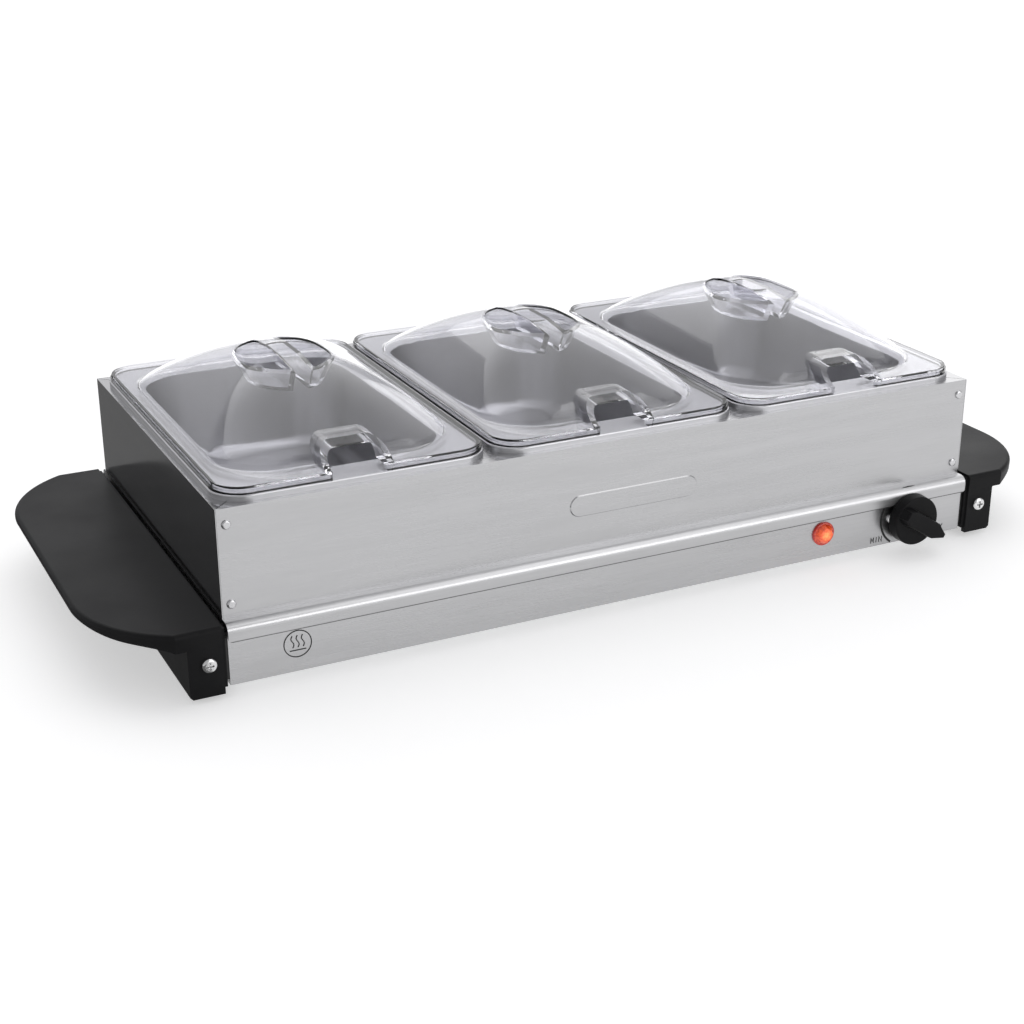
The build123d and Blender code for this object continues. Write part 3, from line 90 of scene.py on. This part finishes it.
# --- printed marks on the housing's front, millimetres ---------------------------------------
PRINT_Y = -122.1
PRINT_THICKNESS = 0.06
DIAL_CENTRE = (190.0, 21.5)
DIAL_RADIUS = 18.2
DIAL_WIDTH = 1.3
DIAL_START, DIAL_END = 236.0, -20.0
LETTER_HEIGHT = 3.5
LETTER_WIDTH = 2.0
LETTER_GAP = 0.9
LETTER_STROKE = 0.42
MIN_AT = (165.4, 7.8)
MAX_AT = (210.6, 7.6)
HEAT_CENTRE = (-194.0, 21.0)
HEAT_RADIUS = 7.4
HEAT_STROKE = 0.55
WAVE_OFFSETS = (-0.38, 0.0, 0.38)
WAVE_SWING = 0.10
WAVE_STEPS = 8
WAVE_RISE = 0.115
WAVE_FOOT = -0.28
PLATE_HALF = 0.6
PLATE_DROP = 0.48
GLYPHS = {
    "M": [[(0.0, 0.0), (0.0, 1.0), (0.5, 0.3), (1.0, 1.0), (1.0, 0.0)]],
    "I": [[(0.5, 0.0), (0.5, 1.0)]],
    "N": [[(0.0, 0.0), (0.0, 1.0), (1.0, 0.0), (1.0, 1.0)]],
    "A": [[(0.0, 0.0), (0.5, 1.0), (1.0, 0.0)], [(0.2, 0.36), (0.8, 0.36)]],
    "X": [[(0.0, 0.0), (1.0, 1.0)], [(0.0, 1.0), (1.0, 0.0)]],
}


# === node helpers ==========================================================================
class Shader:
    """A Principled material and short calls that add the nodes which feed it."""

    def __init__(self, name, colour=(0.8, 0.8, 0.8), **values):
        self.material = bpy.data.materials.new(name)
        self.material.use_nodes = True
        self.tree = self.material.node_tree
        self.bsdf = self.tree.nodes["Principled BSDF"]
        self.bsdf.inputs["Base Color"].default_value = (*colour, 1.0)
        for socket, value in values.items():
            self.bsdf.inputs[socket.replace("_", " ")].default_value = value

    def node(self, kind, **settings):
        new = self.tree.nodes.new(kind)
        for key, value in settings.items():
            setattr(new, key, value)
        return new

    def link(self, out, into):
        self.tree.links.new(out, into)

    def coordinates(self, scale=(1.0, 1.0, 1.0)):
        """Position on the object in metres, stretched by scale."""
        coords = self.node("ShaderNodeTexCoord")
        mapping = self.node("ShaderNodeMapping")
        mapping.inputs["Scale"].default_value = scale
        self.link(coords.outputs["Object"], mapping.inputs["Vector"])
        return mapping.outputs["Vector"]

    def noise(self, scale, stretch=(1.0, 1.0, 1.0), detail=3.0, roughness=0.55):
        tex = self.node("ShaderNodeTexNoise")
        tex.inputs["Scale"].default_value = scale
        tex.inputs["Detail"].default_value = detail
        tex.inputs["Roughness"].default_value = roughness
        self.link(self.coordinates(stretch), tex.inputs["Vector"])
        return tex.outputs["Fac"]

    def spread(self, value, low, high, span=(0.3, 0.7)):
        """Map a 0..1 pattern, over the span it really uses, to low..high."""
        ranged = self.node("ShaderNodeMapRange")
        for key, number in zip(("From Min", "From Max", "To Min", "To Max"), (*span, low, high)):
            ranged.inputs[key].default_value = number
        self.link(value, ranged.inputs["Value"])
        return ranged.outputs["Result"]

    def mix(self, factor, first, second, blend="MIX"):
        """Mix two colours, each a plain colour or a socket."""
        mixer = self.node("ShaderNodeMix", data_type="RGBA", blend_type=blend)
        for socket, value in ((0, factor), (6, first), (7, second)):
            if hasattr(value, "is_output"):
                self.link(value, mixer.inputs[socket])
            elif socket:
                mixer.inputs[socket].default_value = (*value, 1.0)
            else:
                mixer.inputs[socket].default_value = value
        return mixer.outputs[2]

    def maths(self, operation, first, second):
        sums = self.node("ShaderNodeMath", operation=operation)
        for socket, value in enumerate((first, second)):
            if hasattr(value, "is_output"):
                self.link(value, sums.inputs[socket])
            else:
                sums.inputs[socket].default_value = value
        return sums.outputs[0]

    def bump(self, height, strength, distance):
        bump = self.node("ShaderNodeBump")
        bump.inputs["Strength"].default_value = strength
        bump.inputs["Distance"].default_value = distance
        self.link(height, bump.inputs["Height"])
        self.link(bump.outputs["Normal"], self.bsdf.inputs["Normal"])

    def colour(self, socket):
        self.link(socket, self.bsdf.inputs["Base Color"])

    def roughness(self, socket):
        self.link(socket, self.bsdf.inputs["Roughness"])


# === materials =============================================================================
def brushed_steel(name, along, colour=STEEL, rough=(0.22, 0.30), tone=0.045, bump=0.06,
                  lip_shadow=None):
    """Stainless sheet brushed along one axis: long fine scratches, faint bands and smudges.

    A painted shadow line, given as the two heights it fades between, darkens the sheet's lowest sliver and
    stands for the shade under the lip.
    """
    sh = Shader(name, colour, Metallic=1.0)
    fine = tuple(1.0 if axis == along else 60.0 for axis in "XYZ")
    band = tuple(1.0 if axis == along else 14.0 for axis in "XYZ")
    scratches = sh.noise(45.0, fine, detail=4.0, roughness=0.7)
    bands = sh.noise(9.0, band, detail=3.0)
    smudge = sh.noise(7.0, detail=2.0)
    pattern = sh.maths("ADD", sh.maths("MULTIPLY", scratches, 0.6), sh.maths("MULTIPLY", bands, 0.4))
    dark = tuple(c * (1.0 - tone) for c in colour)
    light = tuple(min(1.0, c * (1.0 + tone)) for c in colour)
    tint = sh.mix(sh.spread(pattern, 0.0, 1.0, (0.38, 0.62)), dark, light)
    # painted shadow line along the lip's lower edge, darkest at its foot
    if lip_shadow:
        split = sh.node("ShaderNodeSeparateXYZ")
        sh.link(sh.coordinates(), split.inputs["Vector"])
        tint = sh.mix(sh.spread(split.outputs["Z"], 0.0, 1.0, lip_shadow), LIP_SHADOW_COLOUR, tint)
    sh.colour(tint)
    low, high = rough
    streaks = sh.spread(pattern, low, high, (0.35, 0.65))
    sh.roughness(sh.maths("ADD", streaks, sh.spread(smudge, -0.03, 0.04)))
    sh.bump(scratches, bump, 0.02 * MM)
    return sh.material


def drawn_steel(name, colour=PAN_STEEL, rough=(0.30, 0.37)):
    """Deep-drawn stainless: satin, with faint draw lines down the walls and cloudy polish."""
    sh = Shader(name, colour, Metallic=1.0)
    lines = sh.noise(60.0, (8.0, 8.0, 1.0), detail=3.0)
    clouds = sh.noise(18.0, detail=4.0)
    dull, bright = (tuple(c * level for c in colour) for level in (0.93, 1.05))
    sh.colour(sh.mix(sh.spread(clouds, 0.0, 1.0), dull, bright))
    low, high = rough
    sh.roughness(sh.maths("ADD", sh.spread(clouds, low, high), sh.spread(lines, -0.02, 0.03)))
    sh.bump(lines, 0.02, 0.02 * MM)
    return sh.material


def plated_steel(name, colour=BRIGHT_STEEL, rough=(0.14, 0.24)):
    """Small bright fastener: zinc or chrome plating with slight mottling."""
    sh = Shader(name, colour, Metallic=1.0)
    mottle = sh.noise(900.0, detail=3.0)
    sh.colour(sh.mix(sh.spread(mottle, 0.0, 1.0), tuple(c * 0.88 for c in colour), colour))
    sh.roughness(sh.spread(mottle, *rough))
    sh.bump(mottle, 0.08, 0.02 * MM)
    return sh.material


def moulded_plastic(name, colour=BLACK, rough=(0.34, 0.46), grain=0.3, specular=0.07):
    """Moulded plastic with a spark-eroded grain, a slightly uneven sheen and lighter scuffs."""
    sh = Shader(name, colour, IOR=1.5)
    sh.bsdf.inputs["Specular IOR Level"].default_value = specular
    grains = sh.noise(2600.0, detail=3.0)
    clouds = sh.noise(22.0, detail=4.0)
    scuffs = sh.noise(60.0, (1.0, 6.0, 6.0), detail=5.0, roughness=0.7)
    lighter = tuple(c * 1.5 + 0.004 for c in colour)
    tint = sh.mix(sh.spread(clouds, 0.0, 0.6), colour, lighter)
    scuffed = tuple(c * 2.2 + 0.006 for c in colour)
    sh.colour(sh.mix(sh.spread(scuffs, 0.0, 0.35, (0.62, 0.75)), tint, scuffed))
    sh.roughness(sh.spread(clouds, *rough))
    sh.bump(grains, grain, 0.05 * MM)
    return sh.material


def clear_plastic(name):
    """Clear polystyrene with a faint cool tint and a trace of wipe marks in its gloss."""
    sh = Shader(name, (0.90, 0.90, 0.93), IOR=1.12, Transmission_Weight=1.0, Coat_Weight=1.0)
    sh.bsdf.inputs["Coat IOR"].default_value = 1.55
    wipes = sh.noise(25.0, (1.0, 3.0, 1.0), detail=4.0)
    sh.roughness(sh.spread(wipes, 0.010, 0.045))
    return sh.material


def lamp_lens(name):
    """Faceted red lens lit from behind: orange-yellow core, deep red rim."""
    sh = Shader(name, LAMP_RED, IOR=1.49, Roughness=0.12)
    speckle = sh.noise(700.0, detail=2.0)
    coords = sh.node("ShaderNodeTexCoord")
    offset = sh.node("ShaderNodeVectorMath", operation="SUBTRACT")
    low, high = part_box("pilot_lamp_lens")
    middle = (low + high) / 2
    offset.inputs[1].default_value = (middle.x, low.y, middle.z)
    flat = sh.node("ShaderNodeVectorMath", operation="MULTIPLY")
    flat.inputs[1].default_value = (1.0, 0.0, 1.0)
    reach = sh.node("ShaderNodeVectorMath", operation="LENGTH")
    sh.link(coords.outputs["Object"], offset.inputs[0])
    sh.link(offset.outputs["Vector"], flat.inputs[0])
    sh.link(flat.outputs["Vector"], reach.inputs[0])
    radius = (high.x - low.x) / 2
    edge = sh.spread(reach.outputs["Value"], 0.0, 1.0, (0.0, radius))
    mottled = sh.maths("ADD", edge, sh.spread(speckle, -0.18, 0.18))
    ramp = sh.node("ShaderNodeValToRGB")
    stops = ramp.color_ramp.elements
    stops[0].position, stops[0].color = 0.0, LAMP_CORE
    stops[1].position, stops[1].color = 0.95, LAMP_RIM
    ring = stops.new(0.45)
    ring.color = LAMP_RING
    sh.link(mottled, ramp.inputs["Fac"])
    sh.colour(ramp.outputs["Color"])
    sh.link(ramp.outputs["Color"], sh.bsdf.inputs["Emission Color"])
    sh.bsdf.inputs["Emission Strength"].default_value = LAMP_GLOW
    sh.bsdf.inputs["Coat Weight"].default_value = 0.6
    return sh.material


def plain_matt(name, colour, rough=0.7, grain=400.0, metallic=0.0):
    """Inner pieces that are seldom seen: a matt tone with fine mottling."""
    sh = Shader(name, colour, Metallic=metallic)
    mottle = sh.noise(grain, detail=3.0)
    sh.colour(sh.mix(sh.spread(mottle, 0.0, 1.0), tuple(c * 0.82 for c in colour), colour))
    sh.roughness(sh.spread(mottle, rough - 0.08, rough + 0.08))
    sh.bump(mottle, 0.15, 0.05 * MM)
    return sh.material


MATERIALS = {
    "long_panel": brushed_steel("brushed_steel_long", "X"),
    "end_panel": brushed_steel("brushed_steel_end", "Y", rough=(0.12, 0.18)),
    # the tray's lowest sliver carries the painted shadow line under the lip
    "tray": brushed_steel("brushed_steel_tray", "X", rough=(0.28, 0.36), lip_shadow=LIP_SHADOW_RISE),
    "housing": brushed_steel("brushed_steel_housing", "X", rough=(0.24, 0.32)),
    "pan": drawn_steel("drawn_steel"),
    "rivet": plated_steel("rivet_steel", (0.62, 0.62, 0.63), (0.22, 0.32)),
    "screw": plated_steel("screw_plating"),
    "handle": moulded_plastic("handle_black"),
    "ink": plain_matt("print_black", INK, 0.6),
    "knob": moulded_plastic("knob_black", (0.006, 0.006, 0.0065), (0.36, 0.46), 0.25, 0.10),
    "lid": clear_plastic("lid_clear"),
    "lamp": lamp_lens("lamp_red_lens"),
    "rubber": plain_matt("foot_rubber", (0.02, 0.02, 0.02), 0.8),
    "cover": plain_matt("cover_galvanised", (0.55, 0.56, 0.57), 0.42, 60.0, 1.0),
    "bracket": plain_matt("bracket_paint", (0.02, 0.02, 0.02), 0.5),
    "sheath": plain_matt("element_sheath", (0.16, 0.15, 0.14), 0.5, 300.0, 1.0),
    "foil": plain_matt("reflector_foil", (0.75, 0.75, 0.76), 0.3, 90.0, 1.0),
    "ceramic": plain_matt("white_ceramic", (0.72, 0.70, 0.66), 0.5),
    "nylon": plain_matt("natural_nylon", (0.65, 0.63, 0.58), 0.45),
    "gland": moulded_plastic("gland_black", BLACK, (0.4, 0.5)),
    "brass": plated_steel("shaft_brass", (0.70, 0.52, 0.24)),
    "brown_sleeve": plain_matt("lead_brown", (0.16, 0.06, 0.03), 0.5),
    "blue_sleeve": plain_matt("lead_blue", (0.03, 0.10, 0.35), 0.5),
    "green_sleeve": plain_matt("lead_green", (0.10, 0.32, 0.05), 0.5),
}

FINISH = {
    "long_panel": ["frame_front_panel", "frame_rear_panel", "frame_crossbar_left", "frame_crossbar_right"],
    "end_panel": ["frame_left_panel", "frame_right_panel"],
    "tray": ["warming_tray_top"],
    "housing": ["base_housing"],
    "pan": ["pan_left", "pan_middle", "pan_right"],
    "rivet": ["frame_rivets"],
    "screw": ["cover_screws", "earth_screw", "handle_screws", "thermostat_screws"],
    "handle": ["handle_left", "handle_right"],
    "knob": ["control_knob"],
    "lid": ["lid_left", "lid_middle", "lid_right"],
    "lamp": ["pilot_lamp_lens"],
    "rubber": ["rubber_feet"],
    "cover": ["bottom_cover", "element_clamps", "pilot_lamp_clip"],
    "bracket": ["handle_brackets"],
    "sheath": ["heating_element"],
    "foil": ["reflector"],
    "ceramic": ["thermal_fuse", "thermostat_body"],
    "nylon": ["terminal_block", "pilot_lamp_body"],
    "gland": ["cord_gland", "gland_nut"],
    "brass": ["thermostat_shaft"],
    "brown_sleeve": ["lead_live", "lead_heater", "lead_lamp_live"],
    "blue_sleeve": ["lead_neutral", "lead_fuse", "lead_lamp_neutral"],
    "green_sleeve": ["lead_earth"],
}


def dress_nodes():
    """Give every CAD node its material."""
    for finish, names in FINISH.items():
        for name in names:
            mesh = NODES[name].data
            mesh.materials.clear()
            mesh.materials.append(MATERIALS[finish])


# === printed marks =========================================================================
def thicken(points, width, closed=False):
    """Left and right edges of a stroke of the given width along a path of (x, z) points."""
    path = [Vector(point) for point in points]
    count = len(path)
    left, right = [], []
    for i, point in enumerate(path):
        before = path[i - 1] if i or closed else None
        after = path[(i + 1) % count] if i < count - 1 or closed else None
        arriving = (point - before).normalized() if before else (after - point).normalized()
        leaving = (after - point).normalized() if after else arriving
        normal = Vector((-arriving.y - leaving.y, arriving.x + leaving.x)).normalized()
        reach = width / 2 / max(0.45, normal.dot(Vector((-arriving.y, arriving.x))))
        left.append(point + normal * reach)
        right.append(point - normal * reach)
    return left, right


def stroke_mesh(strokes, width):
    """Vertices and faces of thin solid strokes standing on the housing's front face."""
    back = PRINT_Y * MM
    front = (PRINT_Y - PRINT_THICKNESS) * MM
    verts, faces = [], []
    for points, closed in strokes:
        left, right = thicken(points, width, closed)
        first = len(verts)
        for a, b in zip(left, right):
            verts += [(p.x * MM, y, p.y * MM) for p, y in ((a, front), (b, front), (b, back), (a, back))]
        count = len(points)
        for i in range(count if closed else count - 1):
            here, there = first + 4 * i, first + 4 * ((i + 1) % count)
            faces += [(here + k, there + k, there + (k + 1) % 4, here + (k + 1) % 4) for k in range(4)]
        if not closed:
            last = first + 4 * (count - 1)
            faces += [(first, first + 1, first + 2, first + 3), (last + 3, last + 2, last + 1, last)]
    return verts, faces


def add_print(name, strokes, width):
    """One printed mark riding the base."""
    verts, faces = stroke_mesh(strokes, width)
    mesh = bpy.data.meshes.new(name)
    mesh.from_pydata(verts, [], faces)
    mesh.materials.append(MATERIALS["ink"])
    mark = bpy.data.objects.new(name, mesh)
    bpy.context.scene.collection.objects.link(mark)
    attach(mark, "base")


def arc(centre, radius, start, end, steps):
    turns = [radians(start + (end - start) * i / steps) for i in range(steps + 1)]
    return [(centre[0] + radius * cos(turn), centre[1] + radius * sin(turn)) for turn in turns]


def word(text, at):
    strokes = []
    for i, letter in enumerate(text):
        x = at[0] + i * (LETTER_WIDTH + LETTER_GAP)
        for line in GLYPHS[letter]:
            strokes.append(([(x + u * LETTER_WIDTH, at[1] + v * LETTER_HEIGHT) for u, v in line], False))
    return strokes


def heat_waves():
    """Hot-surface pictogram: three rising waves over a plate, inside a ring."""
    x0, z0 = HEAT_CENTRE
    strokes = [(arc(HEAT_CENTRE, HEAT_RADIUS, 0, 360, 40)[:-1], True)]
    for offset in WAVE_OFFSETS:
        wave = []
        for i in range(WAVE_STEPS + 1):
            sway = offset + WAVE_SWING * sin(pi * i / 4)
            rise = i * WAVE_RISE + WAVE_FOOT
            wave.append((x0 + HEAT_RADIUS * sway, z0 + HEAT_RADIUS * rise))
        strokes.append((wave, False))
    plate_z = z0 - HEAT_RADIUS * PLATE_DROP
    plate = [(x0 - HEAT_RADIUS * PLATE_HALF, plate_z), (x0 + HEAT_RADIUS * PLATE_HALF, plate_z)]
    strokes.append((plate, False))
    return strokes


def add_prints():
    dial = arc(DIAL_CENTRE, DIAL_RADIUS, DIAL_START, DIAL_END, 64)
    add_print("print_dial_arc", [(dial, False)], DIAL_WIDTH)
    add_print("print_min", word("MIN", MIN_AT), LETTER_STROKE)
    add_print("print_max", word("MAX", MAX_AT), LETTER_STROKE)
    add_print("print_heat_waves", heat_waves(), HEAT_STROKE)


# === stage =================================================================================
def add_sheet(name, left, right, front, rear, level, material):
    """Flat rectangle of the stage."""
    mesh = bpy.data.meshes.new(name)
    corners = [(left, front, level), (right, front, level), (right, rear, level), (left, rear, level)]
    mesh.from_pydata(corners, [], [(0, 1, 2, 3)])
    mesh.materials.append(material)
    sheet = bpy.data.objects.new(name, mesh)
    bpy.context.scene.collection.objects.link(sheet)
    return sheet


def add_floor():
    """White floor whose own faint glow grows with distance, so it stays white and shadows stay light."""
    sh = Shader("floor_white", FLOOR_WHITE)
    sh.roughness(sh.spread(sh.noise(3.0), 0.8, 0.9))
    sh.bsdf.inputs["Specular IOR Level"].default_value = 0.0
    sh.bsdf.inputs["Emission Color"].default_value = (1.0, 1.0, 1.0, 1.0)
    coords = sh.node("ShaderNodeTexCoord")
    reach = sh.node("ShaderNodeVectorMath", operation="LENGTH")
    sh.link(coords.outputs["Object"], reach.inputs[0])
    glow = sh.spread(reach.outputs["Value"], *FLOOR_GLOW, FLOOR_GLOW_SPAN)
    sh.link(glow, sh.bsdf.inputs["Emission Strength"])
    add_sheet("floor", -FLOOR_HALF, FLOOR_HALF, -FLOOR_HALF, FLOOR_HALF, 0.0, sh.material)


def add_dark_card():
    """Dark card lying beyond the left end, seen only in reflections, most of all the end panel's."""
    sh = Shader("card_dark", (0.0, 0.0, 0.0), Roughness=1.0)
    sh.bsdf.inputs["Specular IOR Level"].default_value = 0.0
    sh.bsdf.inputs["Emission Color"].default_value = (1.0, 1.0, 1.0, 1.0)
    sh.bsdf.inputs["Emission Strength"].default_value = CARD_LEVEL
    card = add_sheet("dark_card", CARD_LEFT, CARD_RIGHT, CARD_FRONT, CARD_REAR, CARD_HEIGHT, sh.material)
    card.visible_camera = False
    card.visible_diffuse = False
    card.visible_shadow = False
    card.visible_transmission = False


def add_softbox(name, at, target, size, power, reflection_only):
    """Area light; a reflection-only one gives highlights and lights no matt surface."""
    light = bpy.data.lights.new(name, "AREA")
    light.shape = "RECTANGLE"
    light.size, light.size_y = size
    light.energy = power
    holder = bpy.data.objects.new(name, light)
    holder.location = at
    holder.rotation_euler = (Vector(target) - Vector(at)).to_track_quat("-Z", "Y").to_euler()
    holder.visible_diffuse = not reflection_only
    bpy.context.scene.collection.objects.link(holder)


def add_world():
    """Studio surround, even all round, brighter straight behind the object and at floor level."""
    world = bpy.data.worlds.new("studio")
    bpy.context.scene.world = world
    world.use_nodes = True
    tree = world.node_tree
    background = tree.nodes["Background"]
    coords = tree.nodes.new("ShaderNodeTexCoord")
    toward = tree.nodes.new("ShaderNodeVectorMath")
    toward.operation = "DOT_PRODUCT"
    toward.inputs[1].default_value = BACK_TOWARD.normalized()
    height = tree.nodes.new("ShaderNodeSeparateXYZ")
    tree.links.new(coords.outputs["Generated"], toward.inputs[0])
    tree.links.new(coords.outputs["Generated"], height.inputs[0])
    brighter = tree.nodes.new("ShaderNodeMath")
    brighter.operation = "MAXIMUM"
    fades = (
        (toward.outputs["Value"], (*BACK_SPAN, WORLD_LEVEL, BACK_LEVEL)),
        (height.outputs["Z"], (*HORIZON_SPAN, HORIZON_LEVEL, 0.0)),
    )
    for slot, (source, numbers) in enumerate(fades):
        fade = tree.nodes.new("ShaderNodeMapRange")
        fade.interpolation_type = "SMOOTHSTEP"
        for key, number in zip(("From Min", "From Max", "To Min", "To Max"), numbers):
            fade.inputs[key].default_value = number
        tree.links.new(source, fade.inputs["Value"])
        tree.links.new(fade.outputs["Result"], brighter.inputs[slot])
    tree.links.new(brighter.outputs[0], background.inputs["Strength"])
    background.inputs["Color"].default_value = (*WORLD_COLOUR, 1.0)


def add_lights():
    add_world()
    add_dark_card()
    sun = bpy.data.lights.new("diffused_overhead", "SUN")
    sun.energy = SUN_STRENGTH
    sun.angle = SUN_ANGLE
    holder = bpy.data.objects.new("diffused_overhead", sun)
    holder.rotation_euler = (-SUN_FROM).to_track_quat("-Z", "Y").to_euler()
    bpy.context.scene.collection.objects.link(holder)
    for softbox in SOFTBOXES:
        add_softbox(*softbox)


def add_camera():
    look = CAMERA_LOOK.normalized()
    right = look.cross(Vector((0, 0, 1))).normalized()
    up = right.cross(look)
    tilt_right = cos(CAMERA_ROLL) * right + sin(CAMERA_ROLL) * up
    tilt_up = tilt_right.cross(look)
    turn = Matrix((tilt_right, tilt_up, -look)).transposed().to_4x4()
    data = bpy.data.cameras.new("camera")
    data.sensor_width = CAMERA_SENSOR
    data.lens = CAMERA_LENS
    camera = bpy.data.objects.new("camera", data)
    camera.matrix_world = Matrix.Translation(CAMERA_AT) @ turn
    bpy.context.scene.collection.objects.link(camera)
    bpy.context.scene.camera = camera


dress_nodes()
add_prints()
add_floor()
add_lights()
add_camera()
bpy.context.scene.view_settings.view_transform = "Standard"
